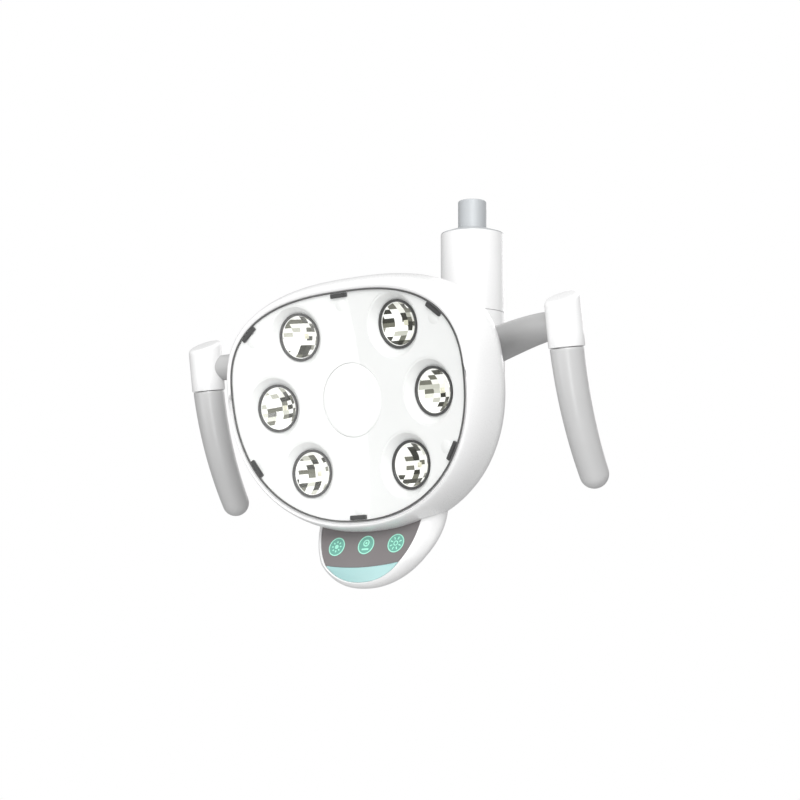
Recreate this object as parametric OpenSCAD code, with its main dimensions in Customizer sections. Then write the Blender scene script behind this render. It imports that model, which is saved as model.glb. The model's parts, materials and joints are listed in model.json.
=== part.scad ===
// Dental operating light: a six-reflector head with a touch chin and two handles,
// tilting on a clevis behind the head and swivelling under a mounting barrel.
// The origin is on the swivel axis at the barrel's shoulder, +Z up, the lit face to -Y.

/* [Barrel] */
// Radius of the mounting spigot
spigot_r = 13; // [12:0.5:14]
// Length of the spigot above the shoulder
spigot_len = 27; // [20:1:40]
// Radius of the cable bore through the spigot
cable_r = 6.5; // [5:0.5:7]
// Outer radius of the barrel and the knuckle below it
barrel_r = 29; // [29:0.5:31]
// Height from the shoulder to the swivel seam
barrel_h = 78; // [78:1:90]

/* [Head] */
// Pitch of the head below level at rest, in degrees
head_pitch = 8.8; // [0:0.1:20]
// Half width of the front opening
open_w = 126.5; // [124:0.5:130]
// Height of the opening above its widest line
open_up = 80.6; // [78:0.5:84]
// Depth of the opening below its widest line
open_low = 115; // [112:0.5:118]
// Width of the bezel beside the opening
bezel_w = 9.5; // [9:0.5:12]
// Radius of the dished face
dish_r = 850; // [800:10:1000]
// Thickness of the moulded covers
wall = 2.6; // [2.4:0.1:3]
// Radius of the plain disc in the middle of the face
disc_r = 31.5; // [28:0.5:33]

/* [Reflectors] */
// Mouth radius of each recess in the face
recess_r = 27; // [25:0.5:27]
// Radius of the dark trim ring in each recess
trim_r = 20.8; // [20:0.1:20.9]
// Depth of each recess
recess_d = 7; // [6.5:0.1:7.5]

/* [Handles] */
// Distance of each handle from the middle of the head
handle_x = 196.3; // [190:0.5:200]
// Radius of the handle cap
cap_r = 15; // [14.5:0.1:16]
// Radius of the grip at its top
grip_r = 14; // [13:0.1:14.4]
// Radius of the grip at its lower end
grip_end_r = 12.2; // [11.5:0.1:13]
// Slope of the cap's top, in degrees
cap_slope = 19; // [10:1:25]

/* [Control chin] */
// Tilt of the touch panel from the head's own vertical, in degrees
panel_tilt = 29; // [26:1:32]
// Radius of each touch key
key_r = 8.5; // [7:0.5:9]
// Distance between the touch keys
key_pitch = 32; // [28:0.5:33]

/* [Hidden] */
$fn = 64;

gap = 0.1;               // clearance between fixed neighbours
run = 0.05;              // radial clearance of a running fit

// Swivel stack, heights below the shoulder
cone_drop = 4;           // fall of the shoulder ring to the barrel's edge
cone_in = 17;            // radius where the shoulder ring starts to fall
ring_z = -5;             // underside of the shoulder ring
spigot_step = 0.4;       // the spigot is this much thicker below the shoulder
flange_z = -12;          // underside of the spigot's flange
seat_z = -20;            // underside of the bearing housing's top flange
barrel_in = barrel_r - 3;
flange_r = barrel_in - gap;
foot_z = 8 - barrel_h;   // underside of the bearing housing
foot_t = 6;
housing_r = 20;
flange_bolts_r = 19;     // bolt circles of the spigot's flange and of the knuckle's core
core_bolts_r = 17;
bore_r = 13;             // bore of the bearing housing
shaft_r = 10;
shaft_bore_r = 6;
shaft_top = -25.5;
nut_h = 4;
spring_t = 0.8;
bush_h = 10;
bush_flange_r = 17;
bush_flange_t = 2;
liner_t = 1.5;
plate_top = foot_z - bush_flange_t - liner_t - 0.2;
plate_t = 6.3;
plate_r = 25;
stop_ring = 22;          // radius at which the stop pins meet
stop_r = 2;
seam = 0.5;              // visible seam under the barrel

// Knuckle
core_r = 22;
core_bottom = -142;
ball_z = -132;           // height of the rounded bottom's centre
shell_t = 2.6;
pivot_y = -52;
pivot_z = -122;
eye_r = 17;
tongue_w = 11;           // half width of the tongue
tongue_h = 12;           // half height of the tongue's shank
axle_r = 6;
axle_head_r = 9;
washer_t = 1.2;
ear_in = tongue_w + washer_t;
ear_out = 24;
ear_r = 18;
pivot_cap_r = 12.6;
tilt_bush_r = 8;

// Head frame: origin at the middle of the face, Y to the back
head_at = [0, -173.7, -177.35];
widest_z = 12;           // height of the widest line of the outline
bezel_up = 12.4;
bezel_low = 11;
upper_n = 2.6;           // squareness of the outline above and below its widest line
lower_n = 2.2;
steps = 72;
part_y = 26;             // parting plane of bezel and rear housing
dome_d = 52;             // depth of the rear housing behind the parting plane
dome_z = 16;             // height of the middle of the dome
sheet_t = 2.5;
cover_t = 1.4;
cover_gap = 0.3;
pivot_local = head_local([0, pivot_y, pivot_z]);
cross_y = 100;           // axis of the hub's cross tube
cross_z = 24;
cross_r = 17;
pad_z = 20;              // height of the hub's pad on the dome
pad_r = 29;
pad_y = part_y + dome_d;

// Reflector cells: places on the face, numbered clockwise from the upper left
cell_side = 84.4;
cell_x = 53.5;
cell_z = 58.7;
CELLS = [[-cell_x, cell_z], [cell_x, cell_z], [cell_side, 0], [cell_x, -cell_z],
    [-cell_x, -cell_z], [-cell_side, 0]];
bowl_mouth = 18;
bowl_y = recess_d + 0.2;
bowl_depth = 10;
bowl_end_r = 6.5;
bowl_t = 1.1;
led_y = bowl_y + bowl_depth + 0.3;
led_board_r = 11;
led_board_t = 1.6;
sink_y = 27;
sink_t = 3;
sink_r = 98;
fin_h = 14;
driver_y = 50;
board_x = 42;            // posts that carry the driver board
board_z = 27;
sink_boss = [70, 45];
sink_boss_h = [32.8, 36.9]; // height of the lower and upper bosses from the dome
// Screw bosses joining bezel and rear housing: X, Z and the length of the rib to the wall
lid_boss = [[123.5, 38, 8.5], [120.5, -32, 7.1]];
// Angles of the cover's clips around the opening, and places of the buttons that the cover rests on
CLIPS = [90, 39.5, -32, -90, -148, 140.5];
BUTTONS = [[0, 81], [98.7, 59.8], [98.7, -46.6], [0, -91.7], [-98.7, -46.6], [-98.7, 59.8]];
clip_len = 17;
clip_inset = 3.4;        // distance of a clip's middle from the edge of the opening

// Handles
handle_y = 37.5;
seam_z = 24;             // seam between cap and grip
cap_top = 66;
cap_round = 4.2;
stem_r = 7;
stem_top = 56;
stem_end = -14;
grip_len = 107;
grip_lean = 1.5;
grip_curve = 21.5;
arm_end_r = 10.8;
arm_root_r = 17;
arm_t = 3.6;
ARM = [[18, 99.5, 23.5], [75, 106, 32], [130, 72, 45.5], [handle_x, 38, 43.8]];

// Control chin, in the head frame. Its face is two planes that meet under the touch panel
chin_top = -98;          // height at which the chin's outline is widest, inside the head
chin_w = 67;
chin_low = 64;
face_w = 53.7;
face_low = 56;
chin_n = 2.2;
panel_top = -108.6;
panel_low = -138;        // lower edge of the touch panel
panel_y = 8;             // depth of the panel's face at its top
strip_tilt = 8.5;
key_z = -123.4;
panel_t = 2.2;
chin_front = 5.2;        // thickness of the chin's front wall
scoop_z = 71;            // height of the axis that the head's lower edge turns about, beside the chin

// ---- helpers ----
function head_local(p) = let(d = p - head_at)
    [d.x, d.y * cos(head_pitch) + d.z * sin(head_pitch), d.z * cos(head_pitch) - d.y * sin(head_pitch)];
function bend_pow(v, n) = sign(v) * pow(abs(v), 2 / n);
// A point of the shield outline at angle a, k bezel widths outside the opening and scaled by s
function shield(a, k = 0, s = 1, grow = 0) =
    let(up = sin(a) >= 0, n = up ? upper_n : lower_n,
        w = (open_w + k * bezel_w) * s + grow,
        h = (up ? open_up + k * bezel_up : open_low + k * bezel_low) * s + grow,
        mid = dome_z + (widest_z - dome_z) * s)
    [w * bend_pow(cos(a), n), mid + h * bend_pow(sin(a), n)];
function dish(p) = dish_r - sqrt(dish_r * dish_r - p[0] * p[0] - p[1] * p[1]);
function shield_ring(y, k, lift = 0, s = 1, grow = 0) =
    [for (i = [0 : steps - 1]) let(p = shield(360 * i / steps, k, s, grow)) [p[0], y - lift * dish(p), p[1]]];
function bezier(P, t) = pow(1 - t, 3) * P[0] + 3 * t * pow(1 - t, 2) * P[1]
    + 3 * t * t * (1 - t) * P[2] + pow(t, 3) * P[3];
function unit(v) = v / norm(v);
function ring_at(p, t, r, n) = let(u = unit(cross([0, 0, 1], t)), v = cross(t, u))
    [for (j = [0 : n - 1]) p + r * (cos(360 * j / n) * u + sin(360 * j / n) * v)];

module loft(rings, ring_closed = false) {
    n = len(rings[0]);
    m = len(rings);
    last = ring_closed ? m - 1 : m - 2;
    sides = [for (i = [0 : last]) for (j = [0 : n - 1])
        let(a = i * n + j, b = i * n + (j + 1) % n, c = ((i + 1) % m) * n + (j + 1) % n,
            d = ((i + 1) % m) * n + j)
        each [[a, d, c], [a, c, b]]];
    caps = ring_closed ? [] : [[for (j = [0 : n - 1]) j], [for (j = [n - 1 : -1 : 0]) (m - 1) * n + j]];
    polyhedron(points = [for (r = rings) each r], faces = concat(sides, caps), convexity = 8);
}
module in_head() { translate(head_at) rotate([head_pitch, 0, 0]) children(); }
// Frame of the touch panel: origin on its face between the keys, Z up the panel, Y to the back
module in_panel() { in_head() translate([0, face_y(key_z), key_z]) rotate([-panel_tilt, 0, 0]) children(); }
module both() { children(); mirror([1, 0, 0]) children(); }
// Turns Z to point along +Y, to the back of the head
module to_back() { rotate([-90, 0, 0]) children(); }
// Turns Z to point along +X
module to_side() { rotate([0, 90, 0]) children(); }
// Extrudes an outline drawn in X and Z from y0 to y1
module slab(y0, y1) { translate([0, y1, 0]) rotate([90, 0, 0]) linear_extrude(y1 - y0) children(); }
module opening(inset) { polygon([for (i = [0 : steps - 1]) shield(360 * i / steps, 0, 1, -inset)]); }
// Places a cell on the dished face with its own Y along the face's inward normal
module on_dish(p) {
    lean = asin(p[1] / dish_r);
    turn = -asin(p[0] / dish_r / cos(lean));
    translate([0, -dish_r, 0]) rotate([lean, 0, turn]) translate([0, dish_r, 0]) children();
}
// A layer of the dished face, from y0 to y1 behind its front
module dish_layer(y0, y1) {
    intersection() {
        translate([0, -dish_r, 0]) difference() {
            sphere(dish_r + y1, $fn = 240);
            sphere(dish_r + y0, $fn = 240);
        }
        slab(-20, 10) children();
    }
}
module tube(r, hole, z0, z1) {
    translate([0, 0, z0]) difference() {
        cylinder(r = r, h = z1 - z0);
        translate([0, 0, -1]) cylinder(r = hole, h = z1 - z0 + 2);
    }
}
module rod(r, z0, z1) { translate([0, 0, z0]) cylinder(r = r, h = z1 - z0); }
// A cap screw along Z with its head's top at 0
module cap_screw(r, length) {
    difference() {
        union() {
            rod(r * 1.8, -r * 2, 0);
            rod(r, -length, -r * 2 + 0.1);
        }
        translate([0, 0, -r]) cylinder(r = r, h = r + 1, $fn = 6);
    }
}
module around(radius, angles) { for (a = angles) rotate([0, 0, a]) translate([radius, 0, 0]) children(); }

// ---- barrel, fixed to the unit's arm ----
FLANGE_HOLES = [45, 135, 225, 315];
module spigot() {
    edge = 1.6;
    color("lightsteelblue") difference() {
        rotate_extrude() {
            translate([cable_r, flange_z]) square([spigot_r - cable_r, spigot_len - flange_z - edge]);
            translate([cable_r, flange_z]) square([spigot_r - cable_r - edge, spigot_len - flange_z]);
            translate([cable_r, flange_z]) square([spigot_r + spigot_step - cable_r, -flange_z - gap]);
            translate([spigot_r - edge, spigot_len - edge]) circle(edge, $fn = 32);
            translate([cable_r, flange_z]) square([flange_r - cable_r, ring_z - flange_z]);
        }
        around(flange_bolts_r, FLANGE_HOLES) {
            rod(2.1, flange_z - 1, ring_z + 1);
            rod(3.7, ring_z - 4.2, ring_z + 1);
        }
    }
}
module shoulder_ring() {
    hole = spigot_r + spigot_step + run;
    edge = barrel_r - 0.4;
    color("gainsboro") rotate_extrude()
        polygon([[hole, ring_z + gap], [hole, 0], [cone_in, 0], [edge, -cone_drop], [edge, ring_z + gap]]);
}
BARREL_SCREWS = [75, 165];
screw_z = (flange_z + seat_z) / 2;
module barrel() {
    color("white") difference() {
        tube(barrel_r, barrel_in, -barrel_h, ring_z);
        around(0, BARREL_SCREWS) translate([20, 0, screw_z]) to_side() cylinder(r = 2 + gap, h = 12);
    }
}
module bearing_housing() {
    color("silver") difference() {
        union() {
            rod(flange_r, seat_z, flange_z - gap);
            rod(housing_r, foot_z, seat_z + 1);
            rod(flange_r, foot_z, foot_z + foot_t);
        }
        rod(bore_r, foot_z - 1, flange_z + 1);
        around(flange_bolts_r, FLANGE_HOLES) rod(2.1, seat_z + 1, flange_z + 1);
        around(0, BARREL_SCREWS) translate([21.9, 0, screw_z]) to_side() cylinder(r = 2 + gap, h = 12);
        translate([0, stop_ring, 0]) rod(stop_r, foot_z - 1, foot_z + 4);
    }
}
module upper_bush() {
    color("goldenrod") tube(bore_r, shaft_r + run, shaft_top - 0.3 - nut_h - spring_t - bush_h - 0.6,
        shaft_top - 0.3 - nut_h - spring_t - 0.6);
}
module lower_bush() {
    color("goldenrod") union() {
        tube(bore_r, shaft_r + run, foot_z, foot_z + 12);
        tube(bush_flange_r, shaft_r + run, foot_z - bush_flange_t, foot_z);
    }
}
module friction_ring() {
    top = foot_z - bush_flange_t;
    color("dimgray") tube(housing_r - 2, shaft_r + 0.3, top - liner_t, top);
}
module swivel_stop_pin() {
    color("silver") translate([0, stop_ring, 0]) rod(stop_r, plate_top + 0.5, foot_z + 4);
}
module flange_screws() {
    color("silver") around(flange_bolts_r, FLANGE_HOLES) translate([0, 0, ring_z - 0.2]) cap_screw(2, 13);
}
module barrel_screws() {
    color("gray") around(0, BARREL_SCREWS) translate([22, 0, screw_z]) to_side() difference() {
        cylinder(r = 2, h = barrel_r - 22.4);
        translate([0, 0, barrel_r - 24.4]) cylinder(r = 1.1, h = 4, $fn = 6);
    }
}

// ---- knuckle, swivels under the barrel ----
CORE_HOLES = [40, 140, 220, 320];
module swivel_shaft() {
    color("silver") difference() {
        union() {
            rod(shaft_r, plate_top - 1, shaft_top);
            rod(plate_r, plate_top - plate_t, plate_top);
            translate([0, -stop_ring, 0]) rod(stop_r, plate_top - 1, foot_z - 0.6);
        }
        rod(shaft_bore_r, plate_top - plate_t - 1, shaft_top + 1);
        around(core_bolts_r, CORE_HOLES) {
            rod(2.1, plate_top - plate_t - 1, plate_top + 1);
            rod(3.7, plate_top - 4.3, plate_top + 1);
        }
    }
}
module spring_washer() {
    color("silver") tube(bore_r - 0.6, shaft_r, shaft_top - 0.3 - nut_h - spring_t, shaft_top - 0.3 - nut_h);
}
module shaft_nut() {
    color("gray") translate([0, 0, shaft_top - 0.3 - nut_h]) difference() {
        cylinder(r = bore_r - 0.6, h = nut_h);
        translate([0, 0, -1]) cylinder(r = shaft_r, h = nut_h + 2);
        around(bore_r - 0.6, [0, 90, 180, 270]) translate([-1.2, -1.5, -1]) cube([3, 3, nut_h + 2]);
    }
}
core_top = plate_top - plate_t;
module knuckle_core() {
    color("silver") difference() {
        union() {
            rod(core_r, core_bottom, core_top);
            translate([-tongue_w, pivot_y, pivot_z - tongue_h]) cube([2 * tongue_w, -pivot_y, 2 * tongue_h]);
            translate([-tongue_w, pivot_y, pivot_z]) to_side() cylinder(r = eye_r, h = 2 * tongue_w);
        }
        translate([-tongue_w - 1, pivot_y, pivot_z]) to_side() cylinder(r = axle_r, h = 2 * tongue_w + 2);
        rod(shaft_bore_r, -104, core_top + 1);
        around(core_bolts_r, CORE_HOLES) rod(1.9, core_top - 12, core_top + 1);
        rod(2.4, core_bottom - 1, core_bottom + 12);
        translate([-5, -core_r - 2, -108]) cube([10, core_r + 2, 9]);
        for (s = [-1, 1]) translate([s * 15.5, 0, 0]) rod(4.5, core_bottom - 1, -112);
    }
}
module knuckle_shell() {
    color("white") difference() {
        union() {
            rod(barrel_r, ball_z, -barrel_h - seam);
            translate([0, 0, ball_z]) sphere(barrel_r);
        }
        rod(barrel_r - shell_t, ball_z, -barrel_h);
        translate([0, 0, ball_z]) sphere(barrel_r - shell_t);
        translate([-tongue_w - 0.3, -barrel_r - 1, pivot_z - tongue_h - 0.3])
            cube([2 * tongue_w + 0.6, barrel_r, 2 * tongue_h + 0.6]);
        translate([-5, -barrel_r - 1, -108]) cube([10, barrel_r, 9]);
        rod(2.6, ball_z - barrel_r - 1, ball_z);
        rod(4.6, ball_z - barrel_r - 1, ball_z - barrel_r + 1.2);
    }
}
module core_screws() {
    color("gray") around(core_bolts_r, CORE_HOLES) translate([0, 0, plate_top - 0.2]) cap_screw(1.9, 15);
}
module knuckle_screw() {
    color("gray") translate([0, 0, ball_z - barrel_r + 1.2]) mirror([0, 0, 1]) {
        rod(4.4, 0, 1);
        rod(2.4, -(core_bottom - ball_z + barrel_r) - 8, 0.1);
    }
}
module at_pivot() { translate([0, pivot_y, pivot_z]) to_side() children(); }
module tilt_axle() {
    color("silver") at_pivot() {
        rod(axle_r, -ear_out - 1, ear_out + 4);
        rod(axle_head_r, -ear_out - 3.2, -ear_out - 0.6);
    }
}
module axle_nut() {
    color("gray") at_pivot() translate([0, 0, ear_out + 0.6]) difference() {
        cylinder(r = axle_head_r, h = 3.2, $fn = 6);
        translate([0, 0, -1]) cylinder(r = axle_r, h = 6);
    }
}
module tilt_washers() {
    color("dimgray") at_pivot() both_z() tube(eye_r - 2, axle_r + run, tongue_w, ear_in - gap);
}
module both_z() { children(); mirror([0, 0, 1]) children(); }

// ---- hub and arms, on the head ----
module at_local_pivot() { translate([0, pivot_local.y, pivot_local.z]) to_side() children(); }
module at_cross() { translate([0, cross_y, cross_z]) to_side() children(); }
HUB_HOLES = [[-18, 12], [18, 12], [-18, -12], [18, -12]];
module yoke_hub() {
    color("white") in_head() difference() {
        union() {
            translate([0, pad_y + gap, pad_z]) to_back() cylinder(r = pad_r - 2, h = 6);
            hull() {
                translate([0, pad_y + 3, pad_z]) to_back() cylinder(r = 22, h = 2, $fn = 32);
                at_cross() rod(cross_r - 0.1, -18, 18, $fn = 32);
            }
            at_cross() rod(cross_r, -ear_out, ear_out);
            both() hull() {
                at_cross() rod(cross_r - 0.2, ear_in, ear_out, $fn = 32);
                at_local_pivot() rod(ear_r - 0.2, ear_in, ear_out, $fn = 32);
            }
            at_local_pivot() both_z() rod(ear_r, ear_in, ear_out);
        }
        at_local_pivot() rod(eye_r + 0.8, -ear_in, ear_in);
        at_local_pivot() rod(tilt_bush_r, -ear_out - 1, ear_out + 1);
        translate([-ear_in, pivot_local.y, pivot_local.z - 40]) cube([2 * ear_in, 40, 80]);
        translate([0, pad_y - 1, pad_z]) to_back() cylinder(r = 5, h = 60);
        for (h = HUB_HOLES) translate([h[0], pad_y - 1, pad_z + h[1]]) to_back() cylinder(r = 2.1, h = 8.5);
    }
}
module tilt_bushes() {
    color("goldenrod") in_head() at_local_pivot() both_z() tube(tilt_bush_r, axle_r + run, ear_in, ear_out);
}
module pivot_cap() {
    color("white") in_head() at_local_pivot() difference() {
        union() {
            rod(pivot_cap_r, ear_out + gap, ear_out + 4.6);
            translate([0, 0, ear_out + 4.6]) cylinder(r1 = pivot_cap_r, r2 = pivot_cap_r - 1.6, h = 1.6);
        }
        rod(axle_head_r + 1.4, ear_out, ear_out + 4.4);
    }
}
module left_pivot_cap() { mirror([1, 0, 0]) pivot_cap(); }
module right_pivot_cap() { pivot_cap(); }
function arm_point(t) = bezier(ARM, t);
function arm_dir(t) = unit(bezier(ARM, t + 0.01) - bezier(ARM, t - 0.01));
function arm_r(t) = arm_end_r + (arm_root_r - arm_end_r) * (1 - pow(t, 1.7));
module arm_body(inset, t_end) {
    loft([for (i = [0 : 14]) let(t = t_end * i / 14) ring_at(arm_point(t), arm_dir(t), arm_r(t) - inset, 28)]);
}
module arm_tenon(r, length) {
    translate(arm_point(1)) rotate([0, 0, atan2(arm_dir(1).y, arm_dir(1).x)]) rotate([0, -90, 0])
        cylinder(r = r, h = length);
}
module arm() {
    color("gainsboro") in_head() difference() {
        union() {
            difference() {
                arm_body(0, 1);
                translate([handle_x, handle_y, 0]) cylinder(r = cap_r + gap, h = 100);
            }
            arm_tenon(stem_r - 1, 24);
        }
        arm_body(arm_t, 0.82);
        translate([-100, 0, -100]) cube([100 + ear_out + gap, 200, 200]);
        translate([0, pad_y, pad_z]) to_back() cylinder(r = pad_r - 1.7, h = 6.4);
        translate([handle_x, handle_y, 0]) cylinder(r = stem_r + gap, h = 100);
    }
}
module left_arm() { mirror([1, 0, 0]) arm(); }
module right_arm() { arm(); }

// ---- handles ----
function cap_ring(z, r, slope) = [for (j = [0 : 39]) let(x = r * cos(9 * j), y = r * sin(9 * j))
    [handle_x + x, handle_y + y, z + slope * y * tan(cap_slope)]];
module handle_cap() {
    color("white") in_head() difference() {
        loft([cap_ring(seam_z, cap_r - 0.8, 0), cap_ring(seam_z + 0.8, cap_r, 0),
            cap_ring(cap_top - 12, cap_r, 0), cap_ring(cap_top - cap_round, cap_r, 1),
            cap_ring(cap_top - 2, cap_r - 0.8, 1), cap_ring(cap_top - 0.6, cap_r - 2.4, 1),
            cap_ring(cap_top, cap_r - cap_round, 1)]);
        translate([handle_x, handle_y, seam_z - 1]) cylinder(r = stem_r + gap, h = stem_top - seam_z + 1.2);
        arm_tenon(stem_r - 1 + gap, 24);
    }
}
module left_cap() { mirror([1, 0, 0]) handle_cap(); }
module right_cap() { handle_cap(); }
module stem() {
    color("silver") in_head() translate([handle_x, handle_y, 0]) rod(stem_r, stem_end, stem_top);
}
module left_stem() { mirror([1, 0, 0]) stem(); }
module right_stem() { stem(); }
grip_steps = 12;
function grip_angle(s) = grip_lean + grip_curve * s;
function grip_point(i) = i == 0 ? [handle_x, handle_y, seam_z - 0.3]
    : grip_point(i - 1) + grip_len / grip_steps * grip_dir((i - 0.5) / grip_steps);
function grip_dir(s) = [0, sin(grip_angle(s)), -cos(grip_angle(s))];
function grip_ring(p, d, r) = let(v = cross(d, [1, 0, 0]))
    [for (j = [0 : 35]) p + r * (cos(10 * j) * [1, 0, 0] + sin(10 * j) * v)];
module grip() {
    end = grip_point(grip_steps);
    color("lightgray") in_head() difference() {
        loft(concat(
            [for (i = [0 : grip_steps]) let(s = i / grip_steps)
                grip_ring(grip_point(i), grip_dir(s), grip_r + (grip_end_r - grip_r) * s)],
            [for (a = [18, 36, 54, 70, 82]) grip_ring(end + grip_end_r * sin(a) * grip_dir(1), grip_dir(1),
                grip_end_r * cos(a))]));
        translate([handle_x, handle_y, stem_end - 0.5]) cylinder(r = stem_r + gap, h = 60);
    }
}
module left_grip() { mirror([1, 0, 0]) grip(); }
module right_grip() { grip(); }

// ---- head shells ----
function dome_ring(a, inset) = shield_ring(part_y + 0.2 + (dome_d - 0.2 - inset) * sin(a), 1, 0, cos(a),
    -inset * cos(a));
DOME_ANGLES = [87, 84, 78, 71, 63, 54, 44, 33, 21, 10, 0];
// A boss along Y with a rib out to the wall beside it
module ribbed_boss(length, rib) {
    to_back() cylinder(r = 4.6, h = length);
    translate([0, 0, -1.2]) cube([rib, length, 2.4]);
}
module rear_housing() {
    n = len(DOME_ANGLES);
    color("white") in_head() difference() {
        union() {
            loft(concat([for (i = [0 : n - 1]) dome_ring(DOME_ANGLES[i], 0)],
                [for (i = [n - 1 : -1 : 0]) dome_ring(DOME_ANGLES[i], wall)]));
            translate([0, pad_y - 8, pad_z]) to_back() cylinder(r = pad_r, h = 8);
            for (x = [-1, 1], z = [0, 1])
                translate([x * sink_boss[0], sink_y + sink_t + gap, (2 * z - 1) * sink_boss[1]])
                    to_back() cylinder(r = 4, h = sink_boss_h[z]);
            both() for (p = lid_boss) translate([p[0], part_y + 0.2, p[1]]) ribbed_boss(8, p[2]);
        }
        translate([0, pad_y - 20, pad_z]) to_back() cylinder(r = 5, h = 30);
        for (h = HUB_HOLES) translate([h[0], pad_y - 20, pad_z + h[1]]) to_back() cylinder(r = 2.1, h = 30);
        for (x = [-1, 1], z = [-1, 1]) translate([x * sink_boss[0], sink_y, z * sink_boss[1]])
            to_back() cylinder(r = 1.6, h = 16);
        both() for (p = lid_boss) {
            translate([p[0], part_y - 1, p[1]]) to_back() cylinder(r = 1.7, h = 40);
            translate([p[0], part_y + 8.2, p[1]]) to_back() cylinder(r = 3.6, h = 40);
        }
    }
}
module hub_screws() {
    color("gray") in_head() for (h = HUB_HOLES) translate([h[0], pad_y - 8.2, pad_z + h[1]]) rotate([90, 0, 0]) {
        rod(4, 0, 3);
        rod(2, -13, 0.1);
    }
}
// Bezel section from the parting plane, over the lip and back: bezel widths out, depth, share of the dish
BEZEL = [[1, part_y, 0], [1, 21.5, 0.1], [0.97, 16.5, 0.25], [0.9, 11, 0.45], [0.78, 6.2, 0.65],
    [0.62, 2.3, 0.85], [0.45, -0.4, 1], [0.28, -2, 1], [0.12, -2.5, 1], [0, -1.9, 1], [0, 2.8, 1],
    [-0.24, 2.8, 1], [-0.24, 5.4, 1], [0.3, 6, 0.9], [0.56, 10, 0.6], [0.68, 16.5, 0.25], [0.72, part_y, 0]];
module bezel() {
    color("white") in_head() difference() {
        union() {
            loft([for (b = BEZEL) shield_ring(b[1], b[0], b[2])], true);
            both() for (p = lid_boss) translate([p[0], 13, p[1]]) ribbed_boss(part_y - 13, p[2]);
        }
        both() for (p = lid_boss) translate([p[0], 16, p[1]]) to_back() cylinder(r = 1.5, h = 20);
    }
}
module housing_screws() {
    color("gray") in_head() both() for (p = lid_boss) translate([p[0], part_y + 8.3, p[1]]) rotate([90, 0, 0]) {
        rod(3.2, -2.4, 0);
        rod(1.5, -0.1, 17);
    }
}
// ---- lit face ----
module clip_places() {
    for (a = CLIPS) {
        p = shield(a, 0, 1, -clip_inset);
        t = shield(a + 1) - shield(a - 1);
        on_dish(p) rotate([0, -atan2(t[1], t[0]), 0]) children();
    }
}
module clip_block(grow) {
    translate([-clip_len / 2 - grow, -2.2 - grow, -1.9 - grow])
        cube([clip_len + 2 * grow, 3.6 + 2 * grow, 3.8 + 2 * grow]);
}
// The notch for a clip in the edge of the cover, open to the outside
module clip_notch() {
    translate([-clip_len / 2 - 0.2, -2.4, -6]) cube([clip_len + 0.4, 4, 8.1]);
}
module reflector_plate() {
    color("gainsboro") in_head() difference() {
        union() {
            dish_layer(0, sheet_t) opening(0.3);
            for (c = CELLS) on_dish(c) translate([0, 1, 0]) to_back()
                cylinder(r1 = recess_r + 1, r2 = trim_r + 2, h = recess_d + 0.6);
            for (b = BUTTONS) on_dish(b) translate([0, -0.2, 0]) to_back() cylinder(r = 5.5, h = 1);
        }
        for (c = CELLS) on_dish(c) {
            translate([0, -1, 0]) to_back() cylinder(r1 = recess_r + (recess_r - trim_r - 0.2) / recess_d,
                r2 = trim_r + 0.2, h = recess_d + 1);
            to_back() cylinder(r = trim_r - 1.6, h = 12);
        }
        translate([0, -3, 0]) to_back() cylinder(r = disc_r + 0.3, h = 3.9);
        clip_places() clip_block(0.2);
    }
}
module centre_disc() {
    color("whitesmoke") in_head() dish_layer(0, 0.8) circle(disc_r);
}
module trim_rings() {
    color("dimgray") in_head() for (c = CELLS) on_dish(c) to_back() rotate_extrude()
        polygon([[trim_r, recess_d - 1.8], [trim_r, recess_d - gap], [trim_r - 2.3, recess_d - gap],
            [trim_r - 2.3, recess_d - 1], [trim_r - 1.6, recess_d - 1.8]]);
}
function bowl_r(t) = let(q = bowl_end_r / bowl_mouth) bowl_mouth * sqrt(1 - (1 - q * q) * t);
module reflector(i) {
    inner = [for (t = [0 : 0.125 : 1]) [bowl_r(t), bowl_y + bowl_depth * t]];
    outer = [for (t = [1 : -0.125 : 0]) [bowl_r(t) + bowl_t, bowl_y + bowl_depth * t]];
    color("ivory") in_head() on_dish(CELLS[i]) to_back() union() {
        rotate_extrude() polygon(concat(inner, outer));
        tube(trim_r + 0.6, bowl_r(0.2), recess_d + 1.7, recess_d + 2.7);
    }
}
module reflector_1() { reflector(0); }
module reflector_2() { reflector(1); }
module reflector_3() { reflector(2); }
module reflector_4() { reflector(3); }
module reflector_5() { reflector(4); }
module reflector_6() { reflector(5); }
module at_posts(y) { for (x = [-board_x, board_x], z = [-board_z, board_z]) translate([x, y, z]) children(); }
module led_boards() {
    color("darkgreen") in_head() for (c = CELLS) on_dish(c) translate([0, led_y, 0]) to_back()
        cylinder(r = led_board_r, h = led_board_t);
}
module led_chips() {
    color("khaki") in_head() for (c = CELLS) on_dish(c) translate([0, led_y - gap, 0]) {
        translate([-2.2, -0.7, -2.2]) cube([4.4, 0.7, 4.4]);
        translate([0, -0.6, 0]) rotate([90, 0, 0]) cylinder(r1 = 1.9, r2 = 0.9, h = 1.2);
    }
}
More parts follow.
